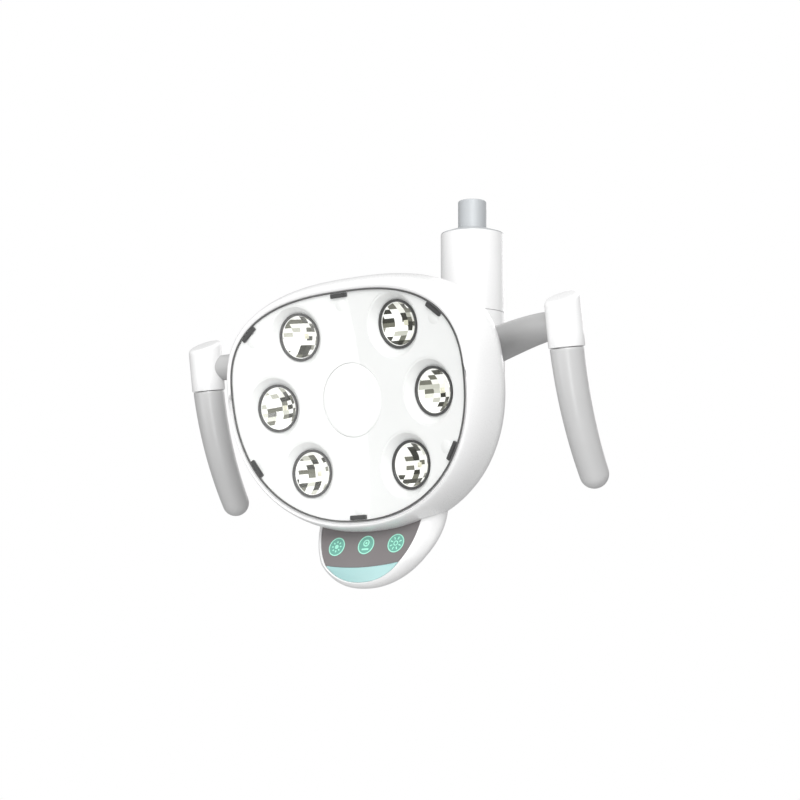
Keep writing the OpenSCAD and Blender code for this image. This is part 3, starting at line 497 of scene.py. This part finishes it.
plate = dish_sheet(0.3, 0, SHEET_T)
wells = Shape()
for cell in CELLS:
    wells.lathe([(0, -6), (RECESS_EDGE, -6), (RECESS_EDGE, 14), (0, 14)], 96, on_dish(*cell))
wells.lathe([(0, -6), (31.8, -6), (31.8, 0.9), (0, 0.9)], 128)
plate = carve(plate, wells)
well_outline = softened([
    (RECESS_EDGE, 0, 0), (RECESS_R - 0.2, 0.02, 1.6), (TRIM_R + 0.2, RECESS_D, 0.5),
    (TRIM_R - 1.6, RECESS_D, 0.3),
    (TRIM_R - 1.6, RECESS_D + 1.2, 0.3), (TRIM_R + 1.4, RECESS_D + 1.2, 0.8), (RECESS_EDGE, SHEET_T, 0)], 0)
for cell in CELLS:
    plate.lathe(well_outline, 96, on_dish(*cell))
button_outline = [(0, -0.3), (4.9, -0.3), (5.4, -0.12), (5.5, 0.5), (0, 0.5)]
for spot in BUTTONS:
    plate.lathe(button_outline, 48, on_dish(*spot))
piece("face_plate", plate, "head", FINISHES["face_grey"], ["reflector_plate"])

disc = Shape()
# Section of the disc: radius and depth behind the dished face
DISC = ((0.5, 0.05), (10, 0.05), (20, 0.05), (28, 0.05), (30.9, 0.05), (31.4, 0.3), (31.5, 0.8), (20, 0.8),
        (0.5, 0.8))
disc_rings = [[(r * math.cos(a), y - dish(r, 0), r * math.sin(a)) for a in ANGLES[::2]] for r, y in DISC]
disc.loft(disc_rings)
piece("middle_disc", disc, "head", FINISHES["disc_grey"], ["centre_disc"])

cover = dish_sheet(1.3, -COVER_GAP - COVER_T, -COVER_GAP)
piece("clear_front", cover, "head", FINISHES["clear_cover"], ["front_cover"])

seal_rings = []
for inset, depth in ((0.2, -1.7), (0.7, -1.85), (1.2, -1.7), (1.2, -0.3), (0.2, -0.3)):
    points = [shield(a, 0, 1, -inset) for a in ANGLES]
    seal_rings.append([(x, depth - dish(x, z), z) for x, z in points])
seal = Shape().loft(seal_rings, True)
piece("edge_seal", seal, "head", FINISHES["seal_rubber"], ["cover_seal"])

# ---------------------------------------------------------------- snap clips
CLIP_LEN, CLIP_W, CLIP_INSET = 17.0, 3.8, 3.4
clips = Shape()
for degrees in CLIPS:
    a = math.radians(degrees)
    x, z = shield(a, 0, 1, -CLIP_INSET)
    ahead = Vector(shield(a + 0.017)) - Vector(shield(a - 0.017))
    turn = Matrix.Rotation(-math.atan2(ahead.y, ahead.x), 4, "Y")
    place = on_dish(x, z) @ turn
    half, w = CLIP_LEN / 2, CLIP_W / 2
    body = softened([(-half, -w), (half, -w), (half, w), (-half, w)], 0.7)
    clips.prism(body, -1.9, 1.4, place)
    short = half - 2.2
    tongue = softened([(-short, -w + 0.6), (short, -w + 0.6), (short, w - 0.5), (-short, w - 0.5)], 0.5)
    clips.prism(tongue, -2.2, -1.8, place)
piece("snap_clips", clips, "head", FINISHES["trim_dark"], ["cover_clips"], angle=25)

# ---------------------------------------------------------------- reflectors, trim rings and LEDs
FACET_W, FACET_H = 5.9, 3.8
RIM_SIDES = 48


def bowl_depth(r):
    """Depth of the bowl's surface at radius r, flat around the LED."""
    end = BOWL_END / BOWL_R
    t = (1 - (r / BOWL_R) ** 2) / (1 - end * end)
    return BOWL_Y + BOWL_D * max(0.0, min(1.0, t))


def clipped(poly, radius):
    """The part of a convex outline that lies within a polygon of RIM_SIDES sides."""
    for i in range(RIM_SIDES):
        a = 2 * math.pi * (i + 0.5) / RIM_SIDES
        nx, nz, limit = math.cos(a), math.sin(a), radius * math.cos(math.pi / RIM_SIDES)
        kept = []
        for p, q in zip(poly, poly[1:] + poly[:1]):
            dp, dq = p[0] * nx + p[1] * nz - limit, q[0] * nx + q[1] * nz - limit
            if dp <= 0:
                kept.append(p)
            if (dp < 0 < dq) or (dq < 0 < dp):
                t = dp / (dp - dq)
                kept.append((p[0] + t * (q[0] - p[0]), p[1] + t * (q[1] - p[1])))
        poly = kept
        if len(poly) < 3:
            return []
    return poly


for number, cell in enumerate(CELLS):
    place = on_dish(*cell)
    reflector = Shape()
    turn = math.radians(2 * number - 5)
    for i in range(-4, 4):
        for j in range(-5, 5):
            shift = 0.25 * (number % 3)
            corners = [(i, j), (i + 1, j), (i + 1, j + 1), (i, j + 1)]
            corners = [((u + shift) * FACET_W, (v + shift) * FACET_H) for u, v in corners]
            poly = clipped(corners, BOWL_R - 0.05)
            if not poly:
                continue
            cos, sin = math.cos(turn), math.sin(turn)
            poly = [(u * cos - v * sin, u * sin + v * cos) for u, v in poly]
            mu = sum(p[0] for p in poly) / len(poly)
            mv = sum(p[1] for p in poly) / len(poly)
            lean_u = (chance(i, j, number) - 0.5) * 0.16
            lean_v = (chance(j, i, number + 7) - 0.5) * 0.16
            front = []
            for u, v in poly:
                depth = bowl_depth(math.hypot(u, v)) + lean_u * (u - mu) + lean_v * (v - mv)
                front.append((u, depth, v))
            back = [(u, y + 0.9, v) for u, y, v in front]
            n = len(front)
            faces = [tuple(range(n)), tuple(n + k for k in reversed(range(n)))]
            faces += [(k, (k + 1) % n, n + (k + 1) % n, n + k) for k in range(n)]
            # Each facet gets a fixed random pick of its painted reflection tone.
            reflector.add(front + back, faces, place, chance(i + 3, j - 5, number + 2))
    end = BOWL_END / BOWL_R
    shares = [i / 16 for i in range(17)]
    curve = [(BOWL_R * math.sqrt(1 - (1 - end * end) * t) + 0.95, BOWL_Y + BOWL_D * t) for t in shares]
    shell = [(r + 0.15, y) for r, y in curve] + [(r - 0.75, y) for r, y in reversed(curve)]
    reflector.lathe(shell, 72, place)
    reflector.lathe([(TRIM_R + 0.6, 8.7), (TRIM_R + 0.6, 9.7), (17.4, 9.7), (17.4, 8.7)], 72, place)
    # The facets' material paints their reflections as fixed tones with a faint glow.
    piece(f"faceted_bowl_{number + 1}", reflector, "head", FINISHES["mirror"],
          [f"reflector_{number + 1}"], angle=1.5)

rings = Shape()
ring_corners = [(TRIM_R, 5.2), (TRIM_R, 6.9), (TRIM_R - 2.3, 6.9), (TRIM_R - 2.3, 6), (TRIM_R - 1.6, 5.2)]
ring_outline = softened(ring_corners, 0.35, 3)
for cell in CELLS:
    rings.lathe(ring_outline, 96, on_dish(*cell))
piece("bowl_trims", rings, "head", FINISHES["trim_dark"], ["trim_rings"])

# ---------------------------------------------------------------- arms
ARM = [Vector(p) for p in ((18, 99.5, 23.5), (75, 106, 32), (130, 72, 45.5), (HANDLE_X, 38, 43.8))]
ARM_ROOT, ARM_END, ARM_START_X = 17.0, 10.8, 24.1


def arm_point(t):
    u = 1 - t
    return u ** 3 * ARM[0] + 3 * t * u * u * ARM[1] + 3 * t * t * u * ARM[2] + t ** 3 * ARM[3]


def arm_ring(t, sides=56):
    ahead = (arm_point(t + 0.01) - arm_point(t - 0.01)).normalized()
    u = Vector((0, 0, 1)).cross(ahead).normalized()
    v = ahead.cross(u)
    r = ARM_END + (ARM_ROOT - ARM_END) * (1 - t ** 1.7)
    ring = []
    for j in range(sides):
        a = 2 * math.pi * j / sides
        p = arm_point(t) + r * (math.cos(a) * u + math.sin(a) * v)
        ring.append((max(p.x, ARM_START_X), p.y, p.z))
    return ring


def both_sides(name, make, body, slot, node_name):
    for side, label in ((1, "right"), (-1, "left")):
        place = HEAD @ Matrix.Diagonal((side, 1, 1, 1))
        piece(f"{label}_{name}", make(), body, FINISHES[slot], [f"{label}_{node_name}"], place)


def make_arm():
    return Shape().loft([arm_ring(0.055 + 0.925 * i / 48) for i in range(49)])


both_sides("arm_tube", make_arm, "head", "arm_paint", "arm")


# ---------------------------------------------------------------- handle caps and grips
def cap_ring(z, r, slope, sides=88):
    ring = []
    for j in range(sides):
        a = 2 * math.pi * j / sides
        x, y = r * math.cos(a), r * math.sin(a)
        ring.append((HANDLE_X + x, HANDLE_Y + y, z + slope * y * CAP_SLOPE))
    return ring


def make_cap():
    """A short cylinder with a slanted, rounded top and a small chamfer at the seam."""
    edge = 3.4
    rows = [(SEAM_Z, CAP_R - 5, 0), (SEAM_Z, CAP_R - 0.9, 0), (SEAM_Z + 0.25, CAP_R - 0.3, 0),
            (SEAM_Z + 0.9, CAP_R, 0), (SEAM_Z + 12, CAP_R, 0.2), (CAP_TOP - 9, CAP_R, 0.8)]
    for i in range(9):
        a = math.radians(90 * i / 8)
        rows.append((CAP_TOP - edge + edge * math.sin(a), CAP_R - edge + edge * math.cos(a), 1))
    rows.append((CAP_TOP, 2, 1))
    return Shape().loft([cap_ring(*row) for row in rows])


both_sides("handle_cap", make_cap, "head", "shell_white", "cap")


def make_grip():
    """A tapered tube that leans further back as it goes down, with a round end."""
    steps = 40
    point = Vector((HANDLE_X, HANDLE_Y, SEAM_Z - 0.3))
    rows = []
    for i in range(steps + 1):
        s = i / steps
        angle = math.radians(GRIP_LEAN + GRIP_CURVE * s)
        ahead = Vector((0, math.sin(angle), -math.cos(angle)))
        if i:
            mid = math.radians(GRIP_LEAN + GRIP_CURVE * (i - 0.5) / steps)
            point = point + GRIP_LEN / steps * Vector((0, math.sin(mid), -math.cos(mid)))
        rows.append((point, ahead, GRIP_R + (GRIP_END - GRIP_R) * s))
    top, ahead, r = rows[0]
    edge = [(top, ahead, r - 5), (top, ahead, r - 0.8), (top + ahead * 0.2, ahead, r - 0.25)]
    rows = edge + [(top + ahead * 0.8, ahead, r)] + rows[1:]
    end, ahead, r = rows[-1]
    for i in range(1, 11):
        a = math.radians(8.8 * i)
        rows.append((end + ahead * r * math.sin(a), ahead, r * math.cos(a)))
    rings = []
    for point, ahead, r in rows:
        side = ahead.cross(Vector((1, 0, 0)))
        rings.append([tuple(point + r * (math.cos(2 * math.pi * j / 72) * Vector((1, 0, 0))
                                         + math.sin(2 * math.pi * j / 72) * side)) for j in range(72)])
    return Shape().loft(rings)


both_sides("grip_tube", make_grip, "head", "grip_grey", "grip")


# ---------------------------------------------------------------- control chin
def bend_z(x):
    """Height of the line where the touch panel meets the light strip: it hangs a little in the middle."""
    return PANEL_LOW + 1.2 - 4.6 * (1 - (x / 50) ** 2)


def face_y(x, z):
    bend = bend_z(x)
    top = PANEL_Y + (max(z, bend) - PANEL_TOP) * PANEL_SLOPE
    return top + min(0.0, z - bend) * STRIP_SLOPE


def chin_arc(w, low, drop=0.0, count=96):
    points = []
    for i in range(count + 1):
        a = -math.pi + math.pi * i / count
        z = CHIN_TOP - drop + (low - drop) * bend_pow(math.sin(a), CHIN_N)
        points.append((w * bend_pow(math.cos(a), CHIN_N), z))
    return points


def chin_ring(d, w, low, drop=0.0):
    return [(x, face_y(x, z) * (1 - d / 60) + d, z) for x, z in chin_arc(w, low, drop)]


# Stations from the back to the rounded front edge: depth, width and height as shares of the front
CHIN = [(44, 0.6, 0.05), (37, 0.82, 0.42), (30, 0.93, 0.66), (23, 0.985, 0.83), (16, 0.985, 0.93),
        (10, 0.945, 0.97), (5, 0.9, 0.965), (1.5, 0.86, 0.935), (-0.2, 0.835, 0.905), (-1, 0.815, 0.885)]
outside = [chin_ring(d, CHIN_W * w, CHIN_LOW * low) for d, w, low in spline(CHIN, 4)]
LEDGE = 4.0
rim = [(-0.9, FACE_W + 0.4, FACE_LOW + 0.3, 2), (-0.5, FACE_W + 0.1, FACE_LOW + 0.1, 2),
       (2.7, FACE_W, FACE_LOW, 2),
       (2.7, FACE_W - LEDGE, FACE_LOW - LEDGE, 3), (5.2, FACE_W - LEDGE, FACE_LOW - LEDGE, 3),
       (5.2, 0.9 * CHIN_W - WALL, 0.94 * CHIN_LOW - WALL, 2)]
wall_rings = [chin_ring(*row) for row in rim]
inside = [chin_ring(d, CHIN_W * w - WALL, CHIN_LOW * low - (0.4 if d == 44 else 1) * WALL, 2)
          for d, w, low in reversed(CHIN[:5])]
chin = Shape().loft(outside + wall_rings + inside, True)
piece("chin_cover", chin, "head", FINISHES["shell_white"], ["chin_shell"])

PANEL_GAP, PANEL_T = 0.15, 2.0
PANEL_EDGE_Z = -105.0
outline = chin_arc(FACE_W - PANEL_GAP, FACE_LOW - PANEL_GAP, 0, 192)
flanks = [(x, z) for x, z in outline if z < PANEL_EDGE_Z and z > bend_z(x) + 0.1]
left = [p for p in flanks if p[0] < 0]
right = [p for p in flanks if p[0] > 0]
foot = [(left[-1][0] + (right[0][0] - left[-1][0]) * i / 40) for i in range(41)]
lower = [(x, bend_z(x) + 0.1) for x in foot]
panel_outline = left + lower + right


def panel_ring(depth):
    return [(x, PANEL_Y + (z - PANEL_TOP) * PANEL_SLOPE + depth, z) for x, z in panel_outline]


panel = Shape().loft([panel_ring(0.25), panel_ring(0.1), panel_ring(PANEL_T)])
piece("touch_panel", panel, "head", FINISHES["panel_taupe"], ["control_panel"])

strip_columns = []
low_points = [(x, z) for x, z in outline if z < bend_z(x) - 0.3]
for x, z in low_points:
    top = bend_z(x) - 0.1
    rows = [top + (z - top) * i / 10 for i in range(11)]
    crown = [0.35 * math.sin(math.pi * i / 10) for i in range(11)]
    front = [(x, face_y(x, h) + 0.15 - c, h) for h, c in zip(rows, crown)]
    back = [(x, face_y(x, h) + PANEL_T, h) for h in reversed(rows)]
    strip_columns.append(front + back)
strip = Shape().loft(strip_columns)
piece("glow_strip", strip, "head", FINISHES["strip_cyan"], ["light_strip"])

# ---------------------------------------------------------------- touch keys
PANEL_FRAME = HEAD @ Matrix.Translation((0, PANEL_Y + (KEY_Z - PANEL_TOP) * PANEL_SLOPE, KEY_Z)) \
    @ Matrix.Rotation(-math.radians(29), 4, "X")
KEYS = [-KEY_PITCH, 0, KEY_PITCH]
FACE_LIFT = 0.08
discs, marks = Shape(), Shape()


def ring_mark(x, z, outer, inner, place):
    corners = [(outer, 0.3, 0), (outer, -FACE_LIFT, 0.05), (inner, -FACE_LIFT, 0.05), (inner, 0.3, 0)]
    outline = softened(corners, 0, 2)
    marks.lathe(outline, 48, place @ Matrix.Translation((x, 0, z)))


def dot_mark(x, z, r, place):
    outline = [(0, 0.3), (r, 0.3), (r, -FACE_LIFT), (0, -FACE_LIFT)]
    marks.lathe(outline, 24, place @ Matrix.Translation((x, 0, z)))


def bar_mark(x, z, length, width, degrees, place):
    shape = softened([(-length / 2, -width / 2), (length / 2, -width / 2), (length / 2, width / 2),
                      (-length / 2, width / 2)], width * 0.45, 3)
    turned = place @ Matrix.Translation((x, 0, z)) @ Matrix.Rotation(-math.radians(degrees), 4, "Y")
    marks.prism(shape, -FACE_LIFT, 0.3, turned)


def ray_marks(count, radius, length, width, place, start=0):
    for i in range(count):
        a = math.radians(start + 360 * i / count)
        bar_mark(radius * math.cos(a), radius * math.sin(a), length, width, math.degrees(a), place)


for x in KEYS:
    place = Matrix.Translation((x, 0, 0))
    discs.lathe([(0, 0.9), (KEY_R - 0.2, 0.9), (KEY_R - 0.2, 0.05), (0, 0.05)], 72, place)
    ring_mark(0, 0, KEY_R, KEY_R - 1.0, place)
low_key, mode_key, high_key = (Matrix.Translation((x, 0, 0)) for x in KEYS)
dot_mark(0, 0, 2.0, low_key)
ray_marks(8, 4.3, 1.9, 1.3, low_key)
ring_mark(0, 1.7, 3.3, 2.1, mode_key)
dot_mark(0, 1.7, 1.1, mode_key)
bar_mark(0, -4.0, 7.4, 1.7, 0, mode_key)
ring_mark(0, 0, 2.4, 1.5, high_key)
ray_marks(8, 4.9, 2.8, 1.1, high_key, 22.5)
piece("key_discs", discs, "head", FINISHES["key_teal"], ["touch_keys"], PANEL_FRAME)
piece("key_marks", marks, "head", FINISHES["key_mark"], (), PANEL_FRAME)

# ---------------------------------------------------------------- edges of the CAD nodes that show
for name, width in (("barrel", 0.5), ("knuckle_shell", 0.4), ("shoulder_ring", 0.3), ("spigot", 0.3),
                    ("left_pivot_cap", 0.6), ("right_pivot_cap", 0.6)):
    soft = frame["nodes"][name].modifiers.new("edges", "BEVEL")
    soft.width = width * 0.001
    soft.segments = 2
    soft.limit_method = "ANGLE"
    soft.angle_limit = math.radians(40)
    soft.harden_normals = True

# ---------------------------------------------------------------- floor, light and camera
AIM = Vector((0.0316, -0.1487, -0.1773))
FLOOR_Z = -1.5


def seen_from(azimuth, elevation, distance):
    a, e = math.radians(azimuth), math.radians(elevation)
    return AIM + distance * Vector((math.sin(a) * math.cos(e), -math.cos(a) * math.cos(e), math.sin(e)))


def aimed(obj, place):
    obj.location = place
    obj.rotation_euler = (AIM - place).to_track_quat("-Z", "Y").to_euler()
    bpy.context.scene.collection.objects.link(obj)
    return obj


def softbox(name, azimuth, elevation, distance, width, height, power):
    light = bpy.data.lights.new(name, "AREA")
    light.shape = "RECTANGLE"
    light.size = width
    light.size_y = height
    light.energy = power
    return aimed(bpy.data.objects.new(name, light), seen_from(azimuth, elevation, distance))


bm = bmesh.new()
bmesh.ops.create_circle(bm, cap_ends=True, radius=2.6, segments=96)
floor_mesh = bpy.data.meshes.new("floor")
bm.to_mesh(floor_mesh)
bm.free()
floor = bpy.data.objects.new("floor", floor_mesh)
floor.location = (0, 0, FLOOR_Z)
floor_mesh.materials.append(finish_of("floor", (0.72, 0.72, 0.72), 0.7, vary=0.01, coarse=3, fine=200))
bpy.context.scene.collection.objects.link(floor)

softbox("key", 40, 26, 2.2, 1.1, 1.2, 31)
softbox("card", -27.5, -4, 2.2, 1.0, 1.3, 7)
softbox("front", 4, 2, 2.3, 1.0, 0.9, 5)
softbox("right", 72, 20, 2.3, 1.0, 0.9, 8)
softbox("low", 37, -15, 2.0, 0.25, 0.9, 5)
softbox("top", 20, 72, 1.8, 1.6, 1.6, 12)
softbox("back", 190, 25, 2.4, 1.6, 1.2, 10)

world = bpy.data.worlds.new("studio")
world.use_nodes = True
tree = world.node_tree
lit = tree.nodes["Background"]
lit.inputs["Color"].default_value = (1, 1, 1, 1)
lit.inputs["Strength"].default_value = 0.4
plain = node(tree, "ShaderNodeBackground")
plain.inputs["Color"].default_value = (1, 1, 1, 1)
rays = node(tree, "ShaderNodeLightPath")
both = node(tree, "ShaderNodeMixShader")
tree.links.new(rays.outputs["Is Camera Ray"], both.inputs["Fac"])
tree.links.new(lit.outputs["Background"], both.inputs[1])
tree.links.new(plain.outputs["Background"], both.inputs[2])
tree.links.new(both.outputs["Shader"], tree.nodes["World Output"].inputs["Surface"])
bpy.context.scene.world = world
bpy.context.scene.view_settings.view_transform = "Standard"

lens = bpy.data.cameras.new("camera")
lens.lens = 103.5
lens.sensor_width = 36
camera = aimed(bpy.data.objects.new("camera", lens), seen_from(37.9, -8.2, 1.952))
bpy.context.scene.camera = camera
